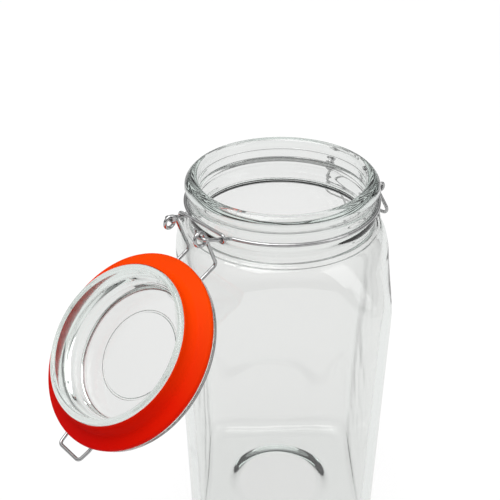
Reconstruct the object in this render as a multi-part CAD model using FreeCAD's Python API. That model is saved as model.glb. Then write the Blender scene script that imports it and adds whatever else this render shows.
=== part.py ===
import FreeCAD, Part
import math
import os

# A clip-top storage jar: a squared glass body with a round neck, a glass lid
# with an orange rubber ring, and three wire fittings.
#
# Frame: millimetres, +Z up. The origin is on the jar's axis, in the plane that
# the jar stands on. The flat sides of the body face X and Y. The lid is shown
# open, hanging outside the neck at the hinge azimuth; the clasp is opposite.
#
# Fittings are laid out in cylindrical terms: "out" is the distance from the
# jar's axis along an azimuth, "side" is the distance across it, and "up" is z.

Vector = FreeCAD.Vector

# ---- driving dimensions -------------------------------------------------
JAR_HEIGHT = 202.0
SHOULDER_HALF_WIDTH = 53.2
BASE_HALF_WIDTH = 49.5
SQUARENESS = 6.5
HEEL_RADIUS = 9.0
WALL = 3.4
FLOOR = 6.0

PUNT_RADIUS = 30.0
PUNT_CROWN_RADIUS = 22.5
PUNT_DEPTH = 3.2

NECK_RADIUS = 46.6
MOUTH_RADIUS = 41.0
NECK_HEIGHT = 25.0
BEAD_STANDS_OUT = 1.2
LEDGE_STANDS_OUT = 0.9
SHOULDER_ARC = 12.0
SQUARING_DEPTH = 35.0
SHOULDER_STEPS = 6

WIRE = 1.8
LINK_WIRE = 1.6
HOOK_WIRE = 1.6
NECK_WIRE_DROP = 13.0
SEATING_GAP = 0.1
REST_GAP = 0.3
RUNNING_GAP = 0.1

HINGE_AZIMUTH = 220.0
HINGE_OUT = 60.4
HINGE_DROP = 8.4
LID_OPENING = 224.4
ARM_SIDE = 14.6
PIN_TIP_SIDE = 7.6
PIN_TIP_RISE = 3.0

GASKET_RADIUS = 47.3
GASKET_THICKNESS = 3.0
SKIRT_RADIUS = 38.1
SKIRT_DEPTH = 9.0
SKIRT_WALL = 3.0
FLANGE_RADIUS = 46.8
FLANGE_THICKNESS = 3.2
CROWN_RADIUS = 42.4
LID_HEIGHT = 12.4
RECESS_FLOOR = 8.2
LID_CIRCLE_RADIUS = 21.4

LEG_SIDE = 10.0
CURL_RADIUS = 3.05
CURL_SAG = 1.0
CURL_PITCH = 1.95
LEG_BEND_OUT = 54.6
LEG_BEND_UP = 11.0
NOSE_HALF_WIDTH = 8.0
NOSE_REACH = 54.2
NOSE_UP = 5.6

EYE_SIDE = 13.5
EYE_OUT = 50.8
LEVER_LEG_SIDE = 17.0
LEVER_HALF_WIDTH = 23.0
LEVER_LENGTH = 21.6
LEVER_LEAN = 15.0
HOOK_PIVOT_REACH = 6.5
HOOK_LENGTH = 27.6
HOOK_LEG_SIDE = 11.3
HOOK_LEAN = 17.6

# ---- places worked out from them ----------------------------------------
CREASE_UP = JAR_HEIGHT - NECK_HEIGHT
NECK_WIRE_UP = JAR_HEIGHT - NECK_WIRE_DROP
NECK_WIRE_RADIUS = NECK_RADIUS + SEATING_GAP + WIRE / 2
HINGE_UP = JAR_HEIGHT - HINGE_DROP
LID_BASE_UP = JAR_HEIGHT + REST_GAP
CLASP_AZIMUTH = HINGE_AZIMUTH - 180.0
GASKET_BORE = SKIRT_RADIUS + SEATING_GAP
FLANGE_TOP = GASKET_THICKNESS + FLANGE_THICKNESS
LID_WIRE_RADIUS = CROWN_RADIUS + SEATING_GAP + WIRE / 2
LID_WIRE_UP = FLANGE_TOP + SEATING_GAP + WIRE / 2


def polar(azimuth, out, side, up):
    """The point at a distance out along an azimuth, with a sideways shift."""
    angle = math.radians(azimuth)
    x = out * math.cos(angle) - side * math.sin(angle)
    y = out * math.sin(angle) + side * math.cos(angle)
    return Vector(x, y, up)


def sideways(azimuth):
    """The unit vector across an azimuth: the direction of the pivots there."""
    return polar(azimuth, 0.0, 1.0, 0.0)


# ---- glass bodies -------------------------------------------------------
def smoothstep(t):
    t = min(max(t, 0.0), 1.0)
    return t * t * (3.0 - 2.0 * t)


def squaring(up):
    """0 where the section is a circle, 1 where it is the full rounded square."""
    return smoothstep((CREASE_UP - up) / SQUARING_DEPTH)


def section_wire(half_width, squared, up, count=64):
    """A closed smooth curve between a circle and a rounded square."""
    inverse_power = 0.5 + squared * (1.0 / SQUARENESS - 0.5)
    power = 1.0 / inverse_power
    points = []
    for i in range(count):
        angle = 2.0 * math.pi * i / count
        c = abs(math.cos(angle)) ** power
        s = abs(math.sin(angle)) ** power
        radius = half_width / (c + s) ** inverse_power
        points.append(Vector(radius * math.cos(angle), radius * math.sin(angle), up))
    curve = Part.BSplineCurve()
    curve.interpolate(Points=points, PeriodicFlag=True)
    return Part.Wire([curve.toShape()])


def body_levels(inset, floor, heel, neck_radius, crease):
    """The heights and half widths of a body shell, from its floor to its neck."""
    shoulder_up = crease - SHOULDER_ARC
    taper = (SHOULDER_HALF_WIDTH - BASE_HALF_WIDTH) / (CREASE_UP - SHOULDER_ARC)
    levels = []
    for step in range(7):
        angle = math.radians(15.0 * step)
        up = floor + heel * (1.0 - math.cos(angle))
        width = BASE_HALF_WIDTH + taper * up - inset
        levels.append((up, width - heel * (1.0 - math.sin(angle))))
    straight_up = CREASE_UP - SQUARING_DEPTH
    for step in range(SHOULDER_STEPS):
        up = straight_up + (shoulder_up - straight_up) * step / SHOULDER_STEPS
        levels.append((up, BASE_HALF_WIDTH + taper * up - inset))
    top_width = BASE_HALF_WIDTH + taper * shoulder_up - inset
    for step in range(7):
        angle = math.radians(15.0 * step)
        width = neck_radius + (top_width - neck_radius) * math.cos(angle)
        levels.append((shoulder_up + SHOULDER_ARC * math.sin(angle), width))
    return levels


def body_shell(inset, floor, heel, neck_radius, crease):
    """A closed solid with straight-ruled bands between the body's sections."""
    wires = []
    for up, width in body_levels(inset, floor, heel, neck_radius, crease):
        wires.append(section_wire(width, squaring(up), up))
    return Part.makeLoft(wires, True, True)


def revolved(outline):
    """A solid of revolution about Z. An outline entry is (radius, up) for a
    straight run, or (middle radius, middle up, radius, up) for an arc."""
    edges = []
    start = Vector(outline[0][0], 0, outline[0][1])
    first = start
    for entry in outline[1:]:
        end = Vector(entry[-2], 0, entry[-1])
        if len(entry) == 4:
            edges.append(Part.Arc(start, Vector(entry[0], 0, entry[1]), end).toShape())
        else:
            edges.append(Part.LineSegment(start, end).toShape())
        start = end
    edges.append(Part.LineSegment(start, first).toShape())
    face = Part.Face(Part.Wire(edges))
    return face.revolve(Vector(0, 0, 0), Vector(0, 0, 1), 360)


def jar_glass():
    """The body, its shoulder and its beaded neck, hollow, as one solid."""
    inner_crease = CREASE_UP - 2.0
    outer = body_shell(0.0, 0.0, HEEL_RADIUS, NECK_RADIUS - 0.3, CREASE_UP)
    inner = body_shell(WALL, FLOOR, HEEL_RADIUS - 1.0, MOUTH_RADIUS + 0.2, inner_crease)
    top = JAR_HEIGHT
    bead = NECK_RADIUS + BEAD_STANDS_OUT
    ledge = NECK_RADIUS + LEDGE_STANDS_OUT
    neck = revolved([
        (0.0, CREASE_UP - 3.0),
        (NECK_RADIUS - 0.6, CREASE_UP - 3.0),
        (NECK_RADIUS - 0.6, CREASE_UP + 0.5),
        (NECK_RADIUS - 0.5, CREASE_UP + 4.0, NECK_RADIUS, top - 19.5),
        (ledge, top - 17.6, NECK_RADIUS + 0.4, top - 15.6),
        (NECK_RADIUS + 0.1, top - 15.0, NECK_RADIUS, top - 14.2),
        (NECK_RADIUS, top - 8.2),
        (NECK_RADIUS + 0.1, top - 7.7, NECK_RADIUS + 0.5, top - 7.4),
        (bead, top - 4.4, NECK_RADIUS - 0.7, top - 1.0),
        (NECK_RADIUS - 1.6, top - 0.25, NECK_RADIUS - 3.0, top),
        (MOUTH_RADIUS + 0.7, top - 0.6, MOUTH_RADIUS, top - 2.2),
        (MOUTH_RADIUS, top - 3.0),
        (0.0, top - 3.0),
    ])
    bore = Part.makeCylinder(MOUTH_RADIUS, NECK_HEIGHT + 8.0, Vector(0, 0, inner_crease - 3.0))
    punt = revolved([
        (0.0, -1.0),
        (PUNT_RADIUS + 0.6, -1.0),
        (PUNT_RADIUS + 0.6, 0.0),
        (PUNT_RADIUS - 0.6, 0.9, PUNT_CROWN_RADIUS + 2.0, PUNT_DEPTH - 0.5),
        (PUNT_CROWN_RADIUS + 1.0, PUNT_DEPTH - 0.1, PUNT_CROWN_RADIUS, PUNT_DEPTH),
        (0.0, PUNT_DEPTH),
    ])
    glass = outer.fuse(neck)
    glass = glass.cut(inner.fuse(bore))
    return glass.cut(punt).removeSplitter()


# ---- bent wire ----------------------------------------------------------
def bent_path(corners, radii):
    """Straight runs joined by tangent arcs. corners are points, and radii holds
    one bend radius for each corner between the two ends."""
    edges = []
    start = corners[0]
    length = 0.0
    for i in range(1, len(corners) - 1):
        corner = corners[i]
        back = (corners[i - 1] - corner).normalize()
        ahead = (corners[i + 1] - corner).normalize()
        turn = math.pi - back.getAngle(ahead)
        reach = radii[i - 1] * math.tan(turn / 2.0)
        enter = corner + back * reach
        leave = corner + ahead * reach
        bisector = (back + ahead).normalize()
        centre_distance = math.hypot(radii[i - 1], reach)
        middle = corner + bisector * (centre_distance - radii[i - 1])
        if (enter - start).Length > 0.001:
            edges.append(Part.LineSegment(start, enter).toShape())
        edges.append(Part.Arc(enter, middle, leave).toShape())
        start = leave
    if (corners[-1] - start).Length > 0.001:
        edges.append(Part.LineSegment(start, corners[-1]).toShape())
    return Part.Wire(edges)


def wire_solid(corners, radii, diameter):
    """Round wire bent along the corners, with square-cut ends."""
    path = bent_path(corners, radii)
    heading = path.Edges[0].tangentAt(path.Edges[0].FirstParameter)
    section = Part.Wire([Part.makeCircle(diameter / 2.0, corners[0], heading)])
    solid = Part.Solid(path.makePipeShell([section], True, False))
    wanted = math.pi * diameter ** 2 / 4.0 * path.Length
    print("  wire %.1f long, volume off by %.4f" % (path.Length, solid.Volume / wanted - 1.0))
    return solid


def ring_corners(azimuth, radius, up, first, last, count):
    """Corners of a polygon round a circle, between two angles from an azimuth,
    whose arcs of the same radius make the exact circle."""
    step = (last - first) / count
    outer = radius / math.cos(math.radians(step) / 2.0)
    corners = []
    for i in range(count):
        corners.append(polar(azimuth + first + step * (i + 0.5), outer, 0.0, up))
    return corners


def mirrored(corners, azimuth):
    """The corners reflected across the upright plane of an azimuth, in reverse."""
    across = sideways(azimuth)
    return [p - across * (2.0 * p.dot(across)) for p in reversed(corners)]


# ---- fittings on the neck -----------------------------------------------
def neck_wire():
    """The wire round the neck: its two ends are the hinge pins, and two eyes on
    the far side carry the lever."""
    arm_angle = math.degrees(math.asin((ARM_SIDE + 3.0) / NECK_WIRE_RADIUS))
    tangent_out = NECK_WIRE_RADIUS * math.cos(math.radians(arm_angle))
    corner_out = tangent_out + 3.0 * math.tan(math.radians(arm_angle))
    arm = [
        polar(HINGE_AZIMUTH, HINGE_OUT, PIN_TIP_SIDE, HINGE_UP + PIN_TIP_RISE),
        polar(HINGE_AZIMUTH, HINGE_OUT, PIN_TIP_SIDE, HINGE_UP),
        polar(HINGE_AZIMUTH, HINGE_OUT, ARM_SIDE, HINGE_UP),
        polar(HINGE_AZIMUTH, corner_out, ARM_SIDE, NECK_WIRE_UP),
    ]
    count = 14
    around = ring_corners(HINGE_AZIMUTH, NECK_WIRE_RADIUS, NECK_WIRE_UP, arm_angle, 360.0 - arm_angle, count)
    corners = arm + around + mirrored(arm, HINGE_AZIMUTH)
    bends = [1.4, 1.5, 2.2] + [NECK_WIRE_RADIUS] * count + [2.2, 1.5, 1.4]
    wire = wire_solid(corners, bends, WIRE)
    for side in (-EYE_SIDE, EYE_SIDE):
        wire = wire.fuse(pivot_eye(side))
    return wire


def pivot_eye(side):
    """A loop of wire that stands out from the neck wire on a short neck."""
    loop_radius = WIRE / 2 + RUNNING_GAP + WIRE / 2
    centre = polar(CLASP_AZIMUTH, EYE_OUT, side, NECK_WIRE_UP)
    loop = Part.makeTorus(loop_radius, WIRE / 2, centre, sideways(CLASP_AZIMUTH))
    ring_out = math.sqrt(NECK_WIRE_RADIUS ** 2 - side ** 2)
    start = polar(CLASP_AZIMUTH, ring_out, side, NECK_WIRE_UP)
    length = EYE_OUT - loop_radius - ring_out
    stalk = Part.makeCylinder(WIRE / 2, length, start, polar(CLASP_AZIMUTH, 1.0, 0.0, 0.0))
    return loop.fuse(stalk)


def tie_link():
    """The straight link across the hinge, hooked over both arms."""
    arm_slope = (HINGE_UP - NECK_WIRE_UP) / (HINGE_OUT - NECK_WIRE_RADIUS)
    out = NECK_WIRE_RADIUS + 3.2
    arm_up = NECK_WIRE_UP + arm_slope * (out - NECK_WIRE_RADIUS + 1.8)
    hook_radius = WIRE / 2 + SEATING_GAP + 0.1 + LINK_WIRE / 2
    step = 50.0
    outer = hook_radius / math.cos(math.radians(step) / 2.0)
    half = [polar(HINGE_AZIMUTH, out, 0.0, arm_up + hook_radius)]
    for i in range(4):
        angle = math.radians(90.0 - step * (i + 0.5))
        half.append(polar(HINGE_AZIMUTH, out, ARM_SIDE + outer * math.cos(angle), arm_up + outer * math.sin(angle)))
    angle = math.radians(90.0 - 4 * step)
    half.append(polar(HINGE_AZIMUTH, out, ARM_SIDE + hook_radius * math.cos(angle),
                      arm_up + hook_radius * math.sin(angle)))
    corners = mirrored(half[1:], HINGE_AZIMUTH) + half[1:]
    return wire_solid(corners, [hook_radius] * (len(corners) - 2), LINK_WIRE)


# ---- the lid, made shut and then swung open -----------------------------
def opened(shape):
    """A lid piece, made on a shut jar, swung to the open position."""
    hinge = polar(HINGE_AZIMUTH, HINGE_OUT, 0.0, HINGE_UP)
    turned = shape.copy()
    turned.translate(Vector(0, 0, LID_BASE_UP))
    turned.rotate(hinge, sideways(HINGE_AZIMUTH), LID_OPENING)
    return turned


def lid_glass():
    """The lid: a skirt that drops into the mouth, a flange over the rubber ring,
    a crown inside the wire, and a hollow underside."""
    skirt = SKIRT_RADIUS
    inside = SKIRT_RADIUS - SKIRT_WALL
    top = LID_HEIGHT
    outside = [
        (0.0, top),
        (LID_CIRCLE_RADIUS - 0.6, top),
        (LID_CIRCLE_RADIUS, top - 0.45, LID_CIRCLE_RADIUS + 0.6, top),
        (CROWN_RADIUS - 4.5, top),
        (CROWN_RADIUS - 1.1, top - 1.0, CROWN_RADIUS - 0.1, top - 3.4),
        (CROWN_RADIUS, FLANGE_TOP + 0.5),
        (CROWN_RADIUS + 0.15, FLANGE_TOP + 0.15, CROWN_RADIUS + 0.5, FLANGE_TOP),
        (FLANGE_RADIUS - 1.3, FLANGE_TOP),
        (FLANGE_RADIUS - 0.4, FLANGE_TOP - 0.4, FLANGE_RADIUS, FLANGE_TOP - 1.3),
        (FLANGE_RADIUS, GASKET_THICKNESS + 0.8),
        (FLANGE_RADIUS - 0.2, GASKET_THICKNESS + 0.2, FLANGE_RADIUS - 0.8, GASKET_THICKNESS),
        (skirt, GASKET_THICKNESS),
        (skirt, -SKIRT_DEPTH + 1.6),
        (skirt - 0.5, -SKIRT_DEPTH + 0.4, skirt - 1.5, -SKIRT_DEPTH),
        (inside + 0.4, -SKIRT_DEPTH + 0.4, inside, -SKIRT_DEPTH + 1.6),
        (inside - 0.4, -2.6),
        (inside - 0.6, -2.0, inside - 1.2, -1.8),
        (inside - 1.5, 3.2),
        (inside - 1.7, 3.8, inside - 2.3, 4.0),
        (inside - 2.8, RECESS_FLOOR - 2.4),
        (inside - 3.6, RECESS_FLOOR - 0.7, inside - 5.4, RECESS_FLOOR),
        (0.0, RECESS_FLOOR),
    ]
    return opened(revolved(outside))


def gasket():
    """The flat rubber ring between the flange and the jar's lip."""
    edge = GASKET_THICKNESS / 2
    ring = revolved([
        (GASKET_BORE, 0.0),
        (GASKET_BORE, GASKET_THICKNESS),
        (GASKET_RADIUS - 0.6, GASKET_THICKNESS),
        (GASKET_RADIUS, edge, GASKET_RADIUS - 0.6, 0.0),
    ])
    ring.translate(Vector(0, 0, -SEATING_GAP / 10))
    return opened(ring)


def curl_corners(start_out, start_up):
    """A hooked end that winds once round the hinge pin, as corners from the leg
    to the cut end, with the arcs' radius equal to the curl's own."""
    hang = math.radians(LID_OPENING - 180.0)
    centre_out = HINGE_OUT - CURL_SAG * math.sin(hang)
    centre_up = HINGE_UP - LID_BASE_UP + CURL_SAG * math.cos(hang)
    away_out = centre_out - start_out
    away_up = centre_up - start_up
    distance = math.hypot(away_out, away_up)
    heading = math.atan2(away_up, away_out) + math.asin(CURL_RADIUS / distance)
    first = heading + math.pi / 2.0
    step = math.radians(45.0)
    outer = CURL_RADIUS / math.cos(step / 2.0)
    corners = []
    turns = 7
    for i in range(turns):
        angle = first - step * (i + 0.5)
        side = LEG_SIDE + CURL_PITCH * (i + 0.5) / turns
        corners.append((centre_out + outer * math.cos(angle), side, centre_up + outer * math.sin(angle)))
    angle = first - step * turns
    corners.append((centre_out + CURL_RADIUS * math.cos(angle), LEG_SIDE + CURL_PITCH,
                    centre_up + CURL_RADIUS * math.sin(angle)))
    return [polar(HINGE_AZIMUTH, *c) for c in reversed(corners)]


def lid_wire():
    """The wire round the crown: a nose loop at the clasp, and two legs whose
    hooked ends hang on the hinge pins."""
    leg_angle = math.degrees(math.asin((LEG_SIDE + 4.0) / LID_WIRE_RADIUS))
    leg_tangent = LID_WIRE_RADIUS * math.cos(math.radians(leg_angle))
    leg_corner = leg_tangent + 4.0 * math.tan(math.radians(leg_angle))
    nose_side = NOSE_HALF_WIDTH + 1.4
    nose_angle = math.degrees(math.asin((nose_side + 3.0) / LID_WIRE_RADIUS))
    nose_tangent = LID_WIRE_RADIUS * math.cos(math.radians(nose_angle))
    nose_corner = nose_tangent + 3.0 * math.tan(math.radians(nose_angle))
    curl = curl_corners(LEG_BEND_OUT, LEG_BEND_UP)
    count = 5
    half = curl + [
        polar(HINGE_AZIMUTH, LEG_BEND_OUT, LEG_SIDE, LEG_BEND_UP),
        polar(HINGE_AZIMUTH, leg_corner, LEG_SIDE, LID_WIRE_UP),
    ]
    half += ring_corners(HINGE_AZIMUTH, LID_WIRE_RADIUS, LID_WIRE_UP, leg_angle, 180.0 - nose_angle, count)
    half += [
        polar(HINGE_AZIMUTH, -nose_corner, nose_side, LID_WIRE_UP),
        polar(HINGE_AZIMUTH, -FLANGE_RADIUS - 1.2, nose_side - 0.6, LID_WIRE_UP),
        polar(HINGE_AZIMUTH, -NOSE_REACH, NOSE_HALF_WIDTH, NOSE_UP),
    ]
    corners = half + mirrored(half, HINGE_AZIMUTH)
    bends = [CURL_RADIUS] * (len(curl) - 1) + [2.2, 3.0] + [LID_WIRE_RADIUS] * count + [2.4, 3.0, 2.2]
    return opened(wire_solid(corners, bends + bends[::-1], WIRE))


# ---- the clasp ----------------------------------------------------------
def lever_point(reach, shift=0.0):
    """A place on the lever's side view: a reach down its legs from the pivot,
    and a shift towards the glass."""
    lean = math.radians(LEVER_LEAN)
    out = EYE_OUT + reach * math.sin(lean) - shift * math.cos(lean)
    up = NECK_WIRE_UP - reach * math.cos(lean) - shift * math.sin(lean)
    return out, up


def hook_pivot():
    """The side-view place of the pivot between the lever and the hook."""
    return lever_point(HOOK_PIVOT_REACH, -(WIRE / 2 + RUNNING_GAP + HOOK_WIRE / 2))


def lever():
    """The pull lever: pins in the neck wire's eyes, legs, and a cross bar, with
    an eye on each leg for the hook."""
    pivot_out, pivot_up = lever_point(0.0)
    bend_out, bend_up = lever_point(HOOK_PIVOT_REACH + 3.0)
    bar_out, bar_up = lever_point(LEVER_LENGTH)
    half = [
        polar(CLASP_AZIMUTH, pivot_out, EYE_SIDE - 2.0, pivot_up),
        polar(CLASP_AZIMUTH, pivot_out, LEVER_LEG_SIDE, pivot_up),
        polar(CLASP_AZIMUTH, bend_out, LEVER_LEG_SIDE, bend_up),
        polar(CLASP_AZIMUTH, bar_out, LEVER_HALF_WIDTH, bar_up),
    ]
    corners = half + mirrored(half, CLASP_AZIMUTH)
    bends = [1.6, 5.0, 3.5]
    wire = wire_solid(corners, bends + bends[::-1], WIRE)
    eye_out, eye_up = hook_pivot()
    loop_radius = HOOK_WIRE / 2 + RUNNING_GAP + WIRE / 2
    for side in (-LEVER_LEG_SIDE, LEVER_LEG_SIDE):
        centre = polar(CLASP_AZIMUTH, eye_out, side, eye_up)
        wire = wire.fuse(Part.makeTorus(loop_radius, WIRE / 2, centre, sideways(CLASP_AZIMUTH)))
    return wire


def hook():
    """The loop that catches the lid's nose, hanging on the lever."""
    pivot_out, pivot_up = hook_pivot()
    lean = math.radians(HOOK_LEAN)
    bar_out = pivot_out + HOOK_LENGTH * math.sin(lean)
    bar_up = pivot_up - HOOK_LENGTH * math.cos(lean)
    half = [
        polar(CLASP_AZIMUTH, pivot_out, LEVER_LEG_SIDE + 1.8, pivot_up),
        polar(CLASP_AZIMUTH, pivot_out, HOOK_LEG_SIDE, pivot_up),
        polar(CLASP_AZIMUTH, bar_out, HOOK_LEG_SIDE, bar_up),
    ]
    corners = half + mirrored(half, CLASP_AZIMUTH)
    bends = [1.6, 2.6]
    return wire_solid(corners, bends + bends[::-1], HOOK_WIRE)


NODES = {
    "jar_glass": jar_glass,
    "neck_wire": neck_wire,
    "tie_link": tie_link,
    "lid_glass": lid_glass,
    "gasket": gasket,
    "lid_wire": lid_wire,
    "lever": lever,
    "hook": hook,
}

os.makedirs("parts", exist_ok=True)
for name, make in NODES.items():
    print(name)
    shape = make()
    box = shape.BoundBox
    print("  solids %d, valid %s, volume %.1f mm3" % (len(shape.Solids), shape.isValid(), shape.Volume))
    print("  x %.1f..%.1f  y %.1f..%.1f  z %.1f..%.1f" % (box.XMin, box.XMax, box.YMin, box.YMax, box.ZMin, box.ZMax))
    shape.exportStep("parts/%s.step" % name)
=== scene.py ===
# %% [markdown]
# # A clip-top storage jar, lid open
# The jar is clear moulded glass: a squared body, a round neck with a rolled bead, and a
# hollow lid with an orange rubber ring. Bright steel wires make the hinge and the clasp.
# Clear glass has hardly any colour of its own. What is seen is the bend of light at each
# surface, so the glass pieces are made as smooth closed shells, and the light round them is
# planned as carefully as the shapes.

# %% Load the frame
import bpy
import bmesh
import math
from mathutils import Matrix, Vector


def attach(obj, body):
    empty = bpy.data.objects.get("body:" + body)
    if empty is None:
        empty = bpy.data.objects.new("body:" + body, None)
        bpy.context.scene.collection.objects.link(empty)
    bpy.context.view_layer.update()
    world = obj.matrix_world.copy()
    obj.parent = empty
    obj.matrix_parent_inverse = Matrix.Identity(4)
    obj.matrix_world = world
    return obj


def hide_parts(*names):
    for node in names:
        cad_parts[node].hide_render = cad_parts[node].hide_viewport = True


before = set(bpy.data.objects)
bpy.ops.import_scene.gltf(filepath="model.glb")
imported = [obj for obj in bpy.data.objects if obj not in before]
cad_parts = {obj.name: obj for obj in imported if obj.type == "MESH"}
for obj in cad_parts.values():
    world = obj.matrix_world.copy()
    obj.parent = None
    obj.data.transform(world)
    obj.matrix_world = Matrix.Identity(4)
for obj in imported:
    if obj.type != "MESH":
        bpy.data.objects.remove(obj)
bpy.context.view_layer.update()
MM = 0.001
scene = bpy.context.scene
scene.view_settings.view_transform = "Standard"

# %% [markdown]
# ## Camera
# The camera stands in front of a flat side, well above the lip, and looks down by about 30
# degrees through a short telephoto lens. Its axes are worked out from a heading, a dip and a
# slight roll.

# %% Camera
CAMERA_PLACE = (-25.5, -417.1, 402.0)
CAMERA_HEADING = 88.68
CAMERA_DIP = 30.19
CAMERA_ROLL = -0.29
LENS = 68.4


def camera_axes(heading, dip, roll):
    """Right, up and backward unit vectors of a camera."""
    h, d, r = math.radians(heading), math.radians(dip), math.radians(roll)
    ahead = Vector((math.cos(h) * math.cos(d), math.sin(h) * math.cos(d), -math.sin(d)))
    right = Vector((math.sin(h), -math.cos(h), 0.0))
    up = right.cross(ahead)
    return (right * math.cos(r) + up * math.sin(r), up * math.cos(r) - right * math.sin(r), -ahead)


camera_data = bpy.data.cameras.new("camera")
camera_data.lens = LENS
camera_data.sensor_width = 36.0
camera = bpy.data.objects.new("camera", camera_data)
turn = Matrix(camera_axes(CAMERA_HEADING, CAMERA_DIP, CAMERA_ROLL)).transposed().to_4x4()
camera.matrix_world = Matrix.Translation(Vector(CAMERA_PLACE) * MM) @ turn
scene.collection.objects.link(camera)
scene.camera = camera
print("camera at", [round(c, 3) for c in camera.matrix_world.translation])

# %% [markdown]
# ## Floor, sky and lamps
# A glass object on a white table is lit by what stands round it, so the table, the sky and the
# lamps are made before the glass. Their finishes are small networks of nodes. A helper that
# adds a node and sets its values in one line keeps those networks short to read.

# %% Node helper
def shader(material_or_world):
    """The node tree, emptied, with short ways to add and join nodes."""
    tree = material_or_world.node_tree
    tree.nodes.clear()

    def add(kind, **settings):
        node = tree.nodes.new(kind)
        for name, value in settings.items():
            if hasattr(node, name):
                setattr(node, name, value)
            else:
                node.inputs[name.replace("_", " ")].default_value = value
        return node

    def join(source, target):
        tree.links.new(source, target)

    return add, join


# %% [markdown]
# ## The white table
# The jar stands on a plain white table. One large square is enough, a hair below the jar so
# that the two don't flicker. Making it white with strong lamps would also bleach the jar, so
# a Light Path node tells what kind of ray has met the table. The camera, mirrors and glass see
# a table that is mostly its own white glow, while other rays see plain paint, and the part
# that isn't glow keeps a faint shadow.

# %% Floor
FLOOR_COLOUR = (0.88, 0.88, 0.88, 1.0)
FLOOR_GLOW = 0.86
GLASS_SIDE_WHITE = 0.88
FLOOR_WHITE = 1.06
FLOOR_HALF_WIDTH = 3.0
FLOOR_DROP = 0.0005


def seen_directly(add, join):
    """1 for rays that show a surface: to the camera, in a mirror or through glass."""
    path = add("ShaderNodeLightPath")
    camera_or_glossy = add("ShaderNodeMath", operation="MAXIMUM")
    join(path.outputs["Is Camera Ray"], camera_or_glossy.inputs[0])
    join(path.outputs["Is Glossy Ray"], camera_or_glossy.inputs[1])
    either = add("ShaderNodeMath", operation="MAXIMUM")
    join(camera_or_glossy.outputs[0], either.inputs[0])
    join(path.outputs["Is Transmission Ray"], either.inputs[1])
    return either.outputs[0], path


# %% Lay the floor
floor_mesh = bmesh.new()
bmesh.ops.create_grid(floor_mesh, x_segments=1, y_segments=1, size=FLOOR_HALF_WIDTH)
floor_data = bpy.data.meshes.new("floor")
floor_mesh.to_mesh(floor_data)
floor_mesh.free()
floor = bpy.data.objects.new("floor", floor_data)
floor.location.z = -FLOOR_DROP
scene.collection.objects.link(floor)
print("floor is %.1f m wide" % (2 * FLOOR_HALF_WIDTH))

white_table = bpy.data.materials.new("white_table")
white_table.use_nodes = True
add, join = shader(white_table)
table_out = add("ShaderNodeOutputMaterial")
table_matt = add("ShaderNodeBsdfDiffuse", Color=FLOOR_COLOUR)
table_glow = add("ShaderNodeEmission", Color=(1, 1, 1, 1))
table_seen = add("ShaderNodeMixShader", Fac=FLOOR_GLOW)
join(table_matt.outputs[0], table_seen.inputs[1])
join(table_glow.outputs[0], table_seen.inputs[2])
shown, path = seen_directly(add, join)
table_level = add("ShaderNodeMapRange", To_Min=GLASS_SIDE_WHITE, To_Max=FLOOR_WHITE)
join(path.outputs["Is Camera Ray"], table_level.inputs["Value"])
join(table_level.outputs[0], table_glow.inputs["Strength"])
table_mix = add("ShaderNodeMixShader")
join(shown, table_mix.inputs[0])
join(table_matt.outputs[0], table_mix.inputs[1])
join(table_seen.outputs[0], table_mix.inputs[2])
join(table_mix.outputs[0], table_out.inputs["Surface"])
floor_data.materials.append(white_table)
print("table nodes:", len(white_table.node_tree.nodes))

# %% [markdown]
# ## The sky
# A light studio is bright overhead and dim near the horizon. An image of a real studio could
# be wrapped round the scene, but two greys on a ramp do the same and are easy to change. The
# dim horizon is what draws a thin grey line along the steep edges of the glass. Light Path
# shows plain white to the camera itself.

# %% Sky
SKY_TOP = 0.85
SKY_HORIZON = 0.2
SKY_DIM_BELOW = 0.24
SKY_BRIGHT_ABOVE = 0.60
sky = bpy.data.worlds.new("studio_sky")
sky.use_nodes = True
scene.world = sky
add, join = shader(sky)
sky_out = add("ShaderNodeOutputWorld")
direction = add("ShaderNodeTexCoord")
parts = add("ShaderNodeSeparateXYZ")
join(direction.outputs["Generated"], parts.inputs[0])
heights = add("ShaderNodeValToRGB")
heights.color_ramp.elements[0].position = SKY_DIM_BELOW
heights.color_ramp.elements[0].color = (SKY_HORIZON, SKY_HORIZON, SKY_HORIZON, 1)
heights.color_ramp.elements[1].position = SKY_BRIGHT_ABOVE
heights.color_ramp.elements[1].color = (SKY_TOP, SKY_TOP, SKY_TOP, 1)
join(parts.outputs["Z"], heights.inputs[0])
studio = add("ShaderNodeBackground")
join(heights.outputs[0], studio.inputs["Color"])
plain_white = add("ShaderNodeBackground", Color=(1, 1, 1, 1), Strength=1.0)
sky_path = add("ShaderNodeLightPath")
sky_mix = add("ShaderNodeMixShader")
join(sky_path.outputs["Is Camera Ray"], sky_mix.inputs[0])
join(studio.outputs[0], sky_mix.inputs[1])
join(plain_white.outputs[0], sky_mix.inputs[2])
join(sky_mix.outputs[0], sky_out.inputs["Surface"])
print("sky from", SKY_HORIZON, "to", SKY_TOP)

# %% [markdown]
# ## The lamps
# Two soft boxes give the broad highlights on the wire and the rubber: a large one above and
# a weak one from the right. Area lamps are chosen because their size softens every shadow,
# where a point or a sun would give hard ones.

# %% Lamps
def softbox(name, place, aim, width, height, power):
    """A rectangular lamp at a place, facing an aim point. Places are in millimetres."""
    lamp = bpy.data.lights.new(name, "AREA")
    lamp.shape = "RECTANGLE"
    lamp.size = width
    lamp.size_y = height
    lamp.energy = power
    thing = bpy.data.objects.new(name, lamp)
    facing = (Vector(aim) - Vector(place)).to_track_quat("-Z", "Y").to_matrix().to_4x4()
    thing.matrix_world = Matrix.Translation(Vector(place) * MM) @ facing
    scene.collection.objects.link(thing)


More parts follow.
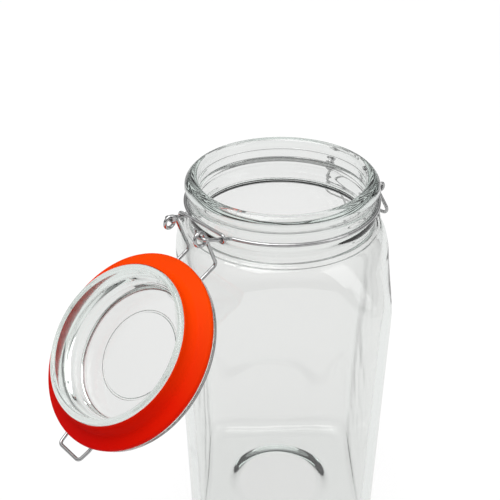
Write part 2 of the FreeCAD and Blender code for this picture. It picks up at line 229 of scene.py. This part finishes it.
softbox("overhead_lamp", place=(-250, -150, 1100), aim=(-20, 0, 120),
        width=0.7, height=0.7, power=5.0)
softbox("right_lamp", place=(900, -500, 700), aim=(0, 0, 120),
        width=0.5, height=0.9, power=1.8)

# %% [markdown]
# ## Shapes shared by the glass
# A profile is a list of (radius, height) points. Its curved runs are arcs through three
# points, sampled finely enough that smooth shading hides the facets.

# %% Profiles
ARC_STEPS = 6


def arc(start, middle, end, steps):
    """Points after start along the circle through three points, ending at end."""
    (ax, ay), (bx, by), (cx, cy) = start, middle, end
    d = 2 * (ax * (by - cy) + bx * (cy - ay) + cx * (ay - by))
    aa, bb, cc = ax * ax + ay * ay, bx * bx + by * by, cx * cx + cy * cy
    ox = (aa * (by - cy) + bb * (cy - ay) + cc * (ay - by)) / d
    oy = (aa * (cx - bx) + bb * (ax - cx) + cc * (bx - ax)) / d
    radius = math.hypot(ax - ox, ay - oy)
    first = math.atan2(ay - oy, ax - ox)
    sweep = (math.atan2(cy - oy, cx - ox) - first) % (2 * math.pi)
    via = (math.atan2(by - oy, bx - ox) - first) % (2 * math.pi)
    if via > sweep:
        sweep -= 2 * math.pi
    points = []
    for i in range(1, steps + 1):
        a = first + sweep * i / steps
        points.append((ox + radius * math.cos(a), oy + radius * math.sin(a)))
    return points


def outline(entries):
    """A profile from corner entries: (r, z) is a straight run, and (r, z, r, z) an arc
    through the first place to the second."""
    points = [entries[0]]
    for entry in entries[1:]:
        if len(entry) == 4:
            points += arc(points[-1], entry[:2], entry[2:], ARC_STEPS)
        else:
            points.append(entry)
    return points


# %% [markdown]
# ## The squared body
# The real body is blown into a mould: a rounded square that turns into a circle below the
# neck. One closed skin is drawn over it in rings, from the middle of the underside, up the
# outside, over the lip and down the inside to the floor. Extruding a ring of edges and moving
# it to its place is the plainest way to do that, and keeps the skin in even strips.

# %% Sizes of the jar
JAR_HEIGHT = 202.0
SHOULDER_HALF_WIDTH = 53.2
BASE_HALF_WIDTH = 49.5
CIRCLE_POWER = 2.0
SQUARENESS = 6.5
HEEL_RADIUS = 9.0
WALL = 3.4
FLOOR_THICKNESS = 6.0
INNER_HEEL_RADIUS = 6.0
PUSH_UP_CROWN = 21.0
PUSH_UP_FOOT = 31.5
PUSH_UP_HEIGHT = 3.2
NECK_RADIUS = 46.6
MOUTH_RADIUS = 41.0
CREASE_UP = 177.0
INNER_CREASE_DROP = 0.8
NECK_FOOT_STEP = 0.3
SHOULDER_ARC = 12.0
SHOULDER_ENDS = 75.0
SQUARING_DEPTH = 35.0
TAPER = (SHOULDER_HALF_WIDTH - BASE_HALF_WIDTH) / (CREASE_UP - SHOULDER_ARC)


def squaring(up):
    """0 where the section is a circle, 1 where it is the full rounded square."""
    t = min(max((CREASE_UP - up) / SQUARING_DEPTH, 0.0), 1.0)
    return t * t * (3.0 - 2.0 * t)


def reach(half_width, squared, angle):
    """The section's distance from the axis at an angle."""
    inverse_power = 1.0 / CIRCLE_POWER + squared * (1.0 / SQUARENESS - 1.0 / CIRCLE_POWER)
    power = 1.0 / inverse_power
    spread = abs(math.cos(angle)) ** power + abs(math.sin(angle)) ** power
    return half_width / spread ** inverse_power


corner_reach = reach(SHOULDER_HALF_WIDTH, 1.0, math.radians(45.0))
print("shoulder corner is %.1f mm from the axis" % corner_reach)

# %% [markdown]
# A wall is a list of rings: a rounded heel, a side that widens a little as it rises, and an
# arc at the shoulder. The outside and the inside of the glass are the same kind of wall with
# other sizes, so one function makes both. The rings stand closer where the square turns into
# a circle, because the shape changes most there.

# %% Rings of a wall
HEEL_STEPS = 8
SHOULDER_STEPS = 10
WALL_RINGS = (40, 70, 100, 125, 138, 144, 148, 152, 156, 160)


def wall_levels(inset, floor, heel, neck_radius, crease):
    """(half width, height) of the rings up a wall, from its heel to its neck."""
    levels = []
    for i in range(HEEL_STEPS + 1):
        a = math.radians(90.0 * i / HEEL_STEPS)
        up = floor + heel * (1 - math.cos(a))
        levels.append((BASE_HALF_WIDTH + TAPER * up - inset - heel * (1 - math.sin(a)), up))
    levels += [(BASE_HALF_WIDTH + TAPER * up - inset, up) for up in WALL_RINGS]
    shoulder = crease - SHOULDER_ARC
    widest = BASE_HALF_WIDTH + TAPER * shoulder - inset
    for i in range(SHOULDER_STEPS + 1):
        a = math.radians(SHOULDER_ENDS * i / SHOULDER_STEPS)
        half_width = neck_radius + (widest - neck_radius) * math.cos(a)
        levels.append((half_width, shoulder + SHOULDER_ARC * math.sin(a)))
    return levels


outside = wall_levels(0.0, 0.0, HEEL_RADIUS, NECK_RADIUS - NECK_FOOT_STEP, CREASE_UP)
inside = wall_levels(WALL, FLOOR_THICKNESS, INNER_HEEL_RADIUS, MOUTH_RADIUS,
                     CREASE_UP - INNER_CREASE_DROP)
print("rings outside:", len(outside), "inside:", len(inside))

# %% [markdown]
# The underside has a shallow push-up, which keeps the jar steady on a flat foot ring. The neck
# carries a small ring at its foot, a hollow for the wire and the bead under the lip. Its bore
# is not quite plain: the plunger that presses it leaves faint rings, which show as fine lines
# through the glass. All creases are slightly rounded, because a sharp one would show as a
# hard black line.

# %% Rings of the underside and the neck
PUSH_UP_STEPS = 14
RIPPLE_RINGS = 36
RINGS_PER_RIPPLE = 9
RIPPLE_RING_GAP = 0.52
RIPPLE_DEPTH = 0.4
FLOOR_CENTRE = 20.0
top = JAR_HEIGHT
underside = []
for i in range(PUSH_UP_STEPS + 1):
    t = i / PUSH_UP_STEPS
    underside.append((PUSH_UP_CROWN + (PUSH_UP_FOOT - PUSH_UP_CROWN) * t,
                      PUSH_UP_HEIGHT * (1.0 - t * t * (3.0 - 2.0 * t))))
neck = outline([
    (NECK_RADIUS + 1.6, CREASE_UP - 0.35),
    (NECK_RADIUS + 0.15, CREASE_UP + 0.65, NECK_RADIUS - 0.5, CREASE_UP + 2.6),
    (NECK_RADIUS - 0.4, CREASE_UP + 4.0, NECK_RADIUS, top - 19.5),
    (NECK_RADIUS + 0.5, top - 17.6, NECK_RADIUS + 0.2, top - 15.6),
    (NECK_RADIUS + 0.1, top - 15.0, NECK_RADIUS, top - 14.2),
    (NECK_RADIUS, top - 8.3),
    (NECK_RADIUS + 0.1, top - 7.7, NECK_RADIUS + 0.5, top - 7.4),
    (NECK_RADIUS + 1.2, top - 4.4, NECK_RADIUS - 0.7, top - 1.0),
    (NECK_RADIUS - 1.6, top - 0.25, NECK_RADIUS - 3.0, top),
    (MOUTH_RADIUS + 0.7, top - 0.6, MOUTH_RADIUS, top - 2.2),
])
bore_top = neck[-1][1]
for i in range(1, RIPPLE_RINGS + 1):
    ripple = RIPPLE_DEPTH / 2 * (1 - math.cos(2 * math.pi * i / RINGS_PER_RIPPLE))
    neck.append((MOUTH_RADIUS + ripple, bore_top - RIPPLE_RING_GAP * i))
neck += [(MOUTH_RADIUS + 0.1, top - 23.0), (MOUTH_RADIUS + 0.1, top - 24.3)]
neck += arc(neck[-1], (MOUTH_RADIUS + 0.35, top - 25.0), (MOUTH_RADIUS + 1.1, top - 25.4), 4)
jar_rings = underside + outside + neck + inside[::-1] + [(FLOOR_CENTRE, FLOOR_THICKNESS)]
print("jar rings:", len(jar_rings))

# %% [markdown]
# ## From rings to a finished piece
# Every turned or drawn piece ends the same way: its faces are turned outwards, its shading is made
# smooth, it gets its finish and its body, and the construction's own piece of it is hidden. Faces
# that point inwards would bend the light the wrong way in glass, so the volume is measured, and a
# mesh that measures less than nothing is turned inside out.

# %% Finishing a piece
def ring_place(ring, number, angle):
    """Where the skin's ring lies at an angle."""
    half_width, up = ring
    squared = squaring(up) if number >= len(underside) and number < len(jar_rings) - 1 else 0.0
    distance = reach(half_width, squared, angle)
    return Vector((distance * math.cos(angle), distance * math.sin(angle), up)) * MM


def finish_piece(name, mesh, body, material, slot, *nodes):
    """Makes the object of a finished mesh, rides it on its body and replaces its nodes."""
    bmesh.ops.recalc_face_normals(mesh, faces=mesh.faces)
    if mesh.calc_volume(signed=True) < 0.0:
        bmesh.ops.reverse_faces(mesh, faces=mesh.faces)
    volume = mesh.calc_volume(signed=True) * 1e6
    data = bpy.data.meshes.new(name)
    mesh.to_mesh(data)
    mesh.free()
    data.polygons.foreach_set("use_smooth", [True] * len(data.polygons))
    data.materials.append(material)
    piece = bpy.data.objects.new(name, data)
    scene.collection.objects.link(piece)
    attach(piece, body)
    if nodes:
        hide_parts(*nodes)
    print(name, "faces:", len(data.polygons), "cm3: %.1f" % volume)


# %% Draw the skin
AROUND = 160
skin = bmesh.new()
bmesh.ops.create_circle(skin, cap_ends=True, segments=AROUND, radius=underside[0][0] * MM)
for v in skin.verts:
    v.co.z = underside[0][1] * MM
rim = list(skin.edges)
for number in range(1, len(jar_rings)):
    grown = bmesh.ops.extrude_edge_only(skin, edges=rim)["geom"]
    rim = [g for g in grown if isinstance(g, bmesh.types.BMEdge)]
    for v in [g for g in grown if isinstance(g, bmesh.types.BMVert)]:
        v.co = ring_place(jar_rings[number], number, math.atan2(v.co.y, v.co.x))
bmesh.ops.contextual_create(skin, geom=rim)
print("skin faces:", len(skin.faces))

# %% [markdown]
# ## Glass
# Soda-lime glass bends light by 1.52 and is faintly green where it is thick. Pressed glass is
# never quite flat, so a very low, broad bump makes its highlights swim a little.

# %% Glass finish
GLASS_IOR = 1.52
THICK_GLASS = (0.84, 0.93, 0.895, 1.0)
THICK_GLASS_DENSITY = 32.0
JAR_TINT = (0.960, 0.954, 0.951, 1.0)
LID_TINT = (0.966, 0.958, 0.954, 1.0)


def glass_finish(name, tint, wave_scale, wave_height):
    """Clear pressed glass with a faint tint and a slow waviness."""
    material = bpy.data.materials.new(name)
    material.use_nodes = True
    add, join = shader(material)
    out = add("ShaderNodeOutputMaterial")
    glass = add("ShaderNodeBsdfPrincipled", Base_Color=tint, Roughness=0.0,
                IOR=GLASS_IOR)
    glass.inputs["Transmission Weight"].default_value = 1.0
    place = add("ShaderNodeTexCoord")
    waves = add("ShaderNodeTexNoise", Scale=wave_scale, Detail=1.0)
    bump = add("ShaderNodeBump", Strength=1.0, Distance=wave_height)
    join(place.outputs["Object"], waves.inputs["Vector"])
    join(waves.outputs[0], bump.inputs["Height"])
    join(bump.outputs[0], glass.inputs["Normal"])
    depth = add("ShaderNodeVolumeAbsorption", Color=THICK_GLASS,
                Density=THICK_GLASS_DENSITY)
    join(glass.outputs[0], out.inputs["Surface"])
    join(depth.outputs[0], out.inputs["Volume"])
    return material


jar_glass = glass_finish("jar_glass", JAR_TINT, wave_scale=28.0, wave_height=0.0004)
lid_glass = glass_finish("lid_glass", LID_TINT, wave_scale=40.0, wave_height=0.0002)
finish_piece("jar_body", skin, "jar", jar_glass, "jar_glass", "jar_glass")

# %% [markdown]
# ## The lid and its seal
# Both are turned shapes, so a profile is spun once round the axis. They are made shut on the
# jar and then swung about the hinge, as the real lid is.

# %% Swing of the lid
HINGE_AZIMUTH = 220.0
HINGE_OUT = 60.4
HINGE_UP = 193.6
LID_OPENING = 224.4
REST_GAP = 0.3
LID_BASE_UP = JAR_HEIGHT + REST_GAP


def opened():
    """The move from the shut lid's own frame to its open place."""
    a = math.radians(HINGE_AZIMUTH)
    hinge = Vector((HINGE_OUT * math.cos(a), HINGE_OUT * math.sin(a), HINGE_UP)) * MM
    pivot = Vector((-math.sin(a), math.cos(a), 0.0))
    swing = Matrix.Rotation(math.radians(LID_OPENING), 4, pivot)
    base = Vector((0.0, 0.0, LID_BASE_UP)) * MM
    return Matrix.Translation(hinge) @ swing @ Matrix.Translation(base - hinge)


def spun(profile, closed):
    """A turned mesh from (radius, height) points in millimetres."""
    mesh = bmesh.new()
    corners = [mesh.verts.new((r * MM, 0.0, z * MM)) for r, z in profile]
    edges = [mesh.edges.new(pair) for pair in zip(corners, corners[1:])]
    if closed:
        edges.append(mesh.edges.new((corners[-1], corners[0])))
    bmesh.ops.spin(mesh, geom=corners + edges, cent=(0, 0, 0), axis=(0, 0, 1),
                   angle=2 * math.pi, steps=AROUND, use_merge=True)
    bmesh.ops.remove_doubles(mesh, verts=mesh.verts, dist=1e-6)
    return mesh


print("open lid's centre:", [round(c, 4) for c in opened().translation])

# %% [markdown]
# The lid is one pressed piece of glass. Its crown carries a fine ring line, its flange lies
# over the lip, and its skirt goes down into the mouth. It is hollow underneath, which makes
# the deep recess that faces the viewer when the lid hangs open. The profile goes from the
# middle of the top, out round the flange and the skirt, and back to the middle of the roof.

# %% Lid
LID_TOP = 12.4
LID_ROOF = 8.2
FLANGE_RADIUS = 46.8
FLANGE_TOP = 6.2
SEAL_THICKNESS = 3.0
SKIRT_RADIUS = 38.1
SKIRT_FOOT = -9.0
lid_profile = outline([
    (0.0, LID_TOP),
    (20.6, LID_TOP),
    (20.8, LID_TOP),
    (21.4, LID_TOP - 0.45, 22.0, LID_TOP),
    (22.2, LID_TOP),
    (37.9, LID_TOP),
    (41.3, LID_TOP - 1.0, 42.3, LID_TOP - 3.4),
    (42.4, FLANGE_TOP + 0.6),
    (42.5, FLANGE_TOP + 0.1, 42.9, FLANGE_TOP),
    (FLANGE_RADIUS - 1.3, FLANGE_TOP),
    (FLANGE_RADIUS - 0.4, FLANGE_TOP - 0.4, FLANGE_RADIUS, FLANGE_TOP - 1.3),
    (FLANGE_RADIUS, SEAL_THICKNESS + 0.8),
    (FLANGE_RADIUS - 0.2, SEAL_THICKNESS + 0.2, FLANGE_RADIUS - 0.8, SEAL_THICKNESS),
    (SKIRT_RADIUS + 0.1, SEAL_THICKNESS),
    (SKIRT_RADIUS, SEAL_THICKNESS - 0.1),
    (SKIRT_RADIUS, SKIRT_FOOT + 1.6),
    (SKIRT_RADIUS - 0.5, SKIRT_FOOT + 0.4, SKIRT_RADIUS - 1.5, SKIRT_FOOT),
    (SKIRT_RADIUS - 2.6, SKIRT_FOOT + 0.4, SKIRT_RADIUS - 3.0, SKIRT_FOOT + 1.6),
    (34.7, -2.6),
    (34.5, -2.0, 33.9, -1.8),
    (33.6, 3.2),
    (33.4, 3.8, 32.8, 4.0),
    (32.3, 5.8),
    (31.5, LID_ROOF - 0.7, 29.7, LID_ROOF),
    (29.4, LID_ROOF),
    (0.0, LID_ROOF),
])
lid_mesh = spun(lid_profile, False)
lid_mesh.transform(opened())
finish_piece("lid_disc", lid_mesh, "lid", lid_glass, "lid_glass", "lid_glass")

# %% [markdown]
# ## Rubber
# The rubber is strongly coloured, with a satin skin that hardly shines. Its colour comes from a
# ramp that follows the height, plus a soft noise. The height part is painted light and shade.
# Painted light makes the ring orange where it stands high, and painted shade makes it a deeper red
# lower down. The noise gives slow clouds of the rubber's own tone. A very fine bump breaks up the
# last of the gloss.

# %% Rubber finish
# One rubber in painted shaded red, half-lit and lit orange tones, for painted light and shade.
RUBBER_SHADED_RED = (0.64, 0.0008, 0.0001, 1)
RUBBER_MIDDLE = (0.76, 0.011, 0.0001, 1)
RUBBER_LIT_ORANGE = (0.86, 0.056, 0.0002, 1)
PAINTED_SHADE_UP = 0.112
PAINTED_LIGHT_UP = 0.176
RED_BELOW = 0.1
MIDDLE_AT = 0.55
CLOUD_SHARE = 0.18
seal_rubber = bpy.data.materials.new("seal_rubber")
seal_rubber.use_nodes = True
add, join = shader(seal_rubber)
rubber_out = add("ShaderNodeOutputMaterial")
rubber = add("ShaderNodeBsdfPrincipled", Roughness=0.5)
rubber.inputs["Specular IOR Level"].default_value = 0.03
rubber_place = add("ShaderNodeTexCoord")
rubber_cloud = add("ShaderNodeTexNoise", Scale=18.0, Detail=2.0)
rubber_parts = add("ShaderNodeSeparateXYZ")
# Height mask for painted light and shade: higher rubber turns orange, lower rubber deep red. The
# noise mixed in is the rubber's own cloudy tone.
rubber_painted_light_mask = add("ShaderNodeMapRange", From_Min=PAINTED_SHADE_UP, From_Max=PAINTED_LIGHT_UP)
rubber_clouds_and_painted_light = add("ShaderNodeMath", operation="MULTIPLY_ADD")
rubber_clouds_and_painted_light.inputs[1].default_value = CLOUD_SHARE
rubber_lit_and_shaded_tones = add("ShaderNodeValToRGB")
rubber_lit_and_shaded_tones.color_ramp.elements[0].position = RED_BELOW
rubber_lit_and_shaded_tones.color_ramp.elements[0].color = RUBBER_SHADED_RED
rubber_lit_and_shaded_tones.color_ramp.elements[1].position = 1.0
rubber_lit_and_shaded_tones.color_ramp.elements[1].color = RUBBER_LIT_ORANGE
rubber_middle = rubber_lit_and_shaded_tones.color_ramp.elements.new(MIDDLE_AT)
rubber_middle.color = RUBBER_MIDDLE
rubber_grain = add("ShaderNodeTexNoise", Scale=2600.0, Detail=2.0)
rubber_bump = add("ShaderNodeBump", Strength=0.25, Distance=0.00005)
join(rubber_place.outputs["Object"], rubber_cloud.inputs["Vector"])
join(rubber_place.outputs["Object"], rubber_parts.inputs[0])
join(rubber_parts.outputs["Z"], rubber_painted_light_mask.inputs["Value"])
join(rubber_cloud.outputs[0], rubber_clouds_and_painted_light.inputs[0])
join(rubber_painted_light_mask.outputs[0], rubber_clouds_and_painted_light.inputs[2])
join(rubber_clouds_and_painted_light.outputs[0], rubber_lit_and_shaded_tones.inputs[0])
join(rubber_lit_and_shaded_tones.outputs[0], rubber.inputs["Base Color"])
join(rubber_place.outputs["Object"], rubber_grain.inputs["Vector"])
join(rubber_grain.outputs[0], rubber_bump.inputs["Height"])
join(rubber_bump.outputs[0], rubber.inputs["Normal"])
join(rubber.outputs[0], rubber_out.inputs["Surface"])
print("rubber nodes:", len(seal_rubber.node_tree.nodes))

# %% [markdown]
# ## The seal
# The seal is a flat moulded ring that lies under the lid's flange. A thin collar grips the
# skirt, so that orange shows right up to the skirt's rim. The collar is thinner than the gap
# between the skirt and the mouth, so the lid still shuts. A ring of this section could be cut
# from a tube, but spinning the section needs no cutting, and its ends meet by themselves.

# %% Seal
SEAL_RADIUS = 47.3
SEAL_BORE = SKIRT_RADIUS + 0.15
SEAL_TOP = SEAL_THICKNESS - 0.01
COLLAR_FOOT = -7.6
seal_profile = outline([
    (SEAL_BORE, COLLAR_FOOT + 0.2),
    (SEAL_BORE, SEAL_TOP - 0.24),
    (SEAL_BORE + 0.1, SEAL_TOP - 0.04, SEAL_BORE + 0.35, SEAL_TOP),
    (SEAL_RADIUS - 0.8, SEAL_TOP),
    (SEAL_RADIUS, SEAL_THICKNESS / 2, SEAL_RADIUS - 0.8, 0.0),
    (MOUTH_RADIUS + 0.4, 0.0),
    (39.3, -2.2, SEAL_BORE + 0.45, COLLAR_FOOT + 0.3),
    (SEAL_BORE + 0.25, COLLAR_FOOT),
])
seal_mesh = spun(seal_profile, True)
seal_mesh.transform(opened())
finish_piece("seal_ring", seal_mesh, "lid", seal_rubber, "seal_rubber", "gasket")

# %% [markdown]
# ## Steel wire
# The fittings are bright drawn wire, whose shapes come from the construction as they are.
# Drawing leaves fine marks on the wire, which change its brightness and blur its reflections
# a little, so a fine noise drives both. Real scratches modelled on the wire would be far too
# small to see one by one.

# %% Wire finish
WIRE_DARK = (0.33, 0.33, 0.335, 1)
WIRE_BRIGHT = (0.60, 0.60, 0.60, 1)
SMOOTHEST_WIRE = 0.04
ROUGHEST_WIRE = 0.12
steel_wire = bpy.data.materials.new("steel_wire")
steel_wire.use_nodes = True
add, join = shader(steel_wire)
wire_out = add("ShaderNodeOutputMaterial")
wire = add("ShaderNodeBsdfPrincipled", Metallic=1.0)
wire_place = add("ShaderNodeTexCoord")
wire_marks = add("ShaderNodeTexNoise", Scale=900.0, Detail=3.0)
wire_shades = add("ShaderNodeValToRGB")
wire_shades.color_ramp.elements[0].color = WIRE_DARK
wire_shades.color_ramp.elements[1].color = WIRE_BRIGHT
wire_blur = add("ShaderNodeMapRange", From_Min=0.3, From_Max=0.7,
                To_Min=SMOOTHEST_WIRE, To_Max=ROUGHEST_WIRE)
join(wire_place.outputs["Object"], wire_marks.inputs["Vector"])
join(wire_marks.outputs[0], wire_shades.inputs[0])
join(wire_marks.outputs[0], wire_blur.inputs["Value"])
join(wire_shades.outputs[0], wire.inputs["Base Color"])
join(wire_blur.outputs[0], wire.inputs["Roughness"])
join(wire.outputs[0], wire_out.inputs["Surface"])

# %% Steel on the fittings
for node in ("neck_wire", "tie_link", "lid_wire", "lever", "hook"):
    for material_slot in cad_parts[node].material_slots:
        material_slot.material = steel_wire
    print("steel on", node)
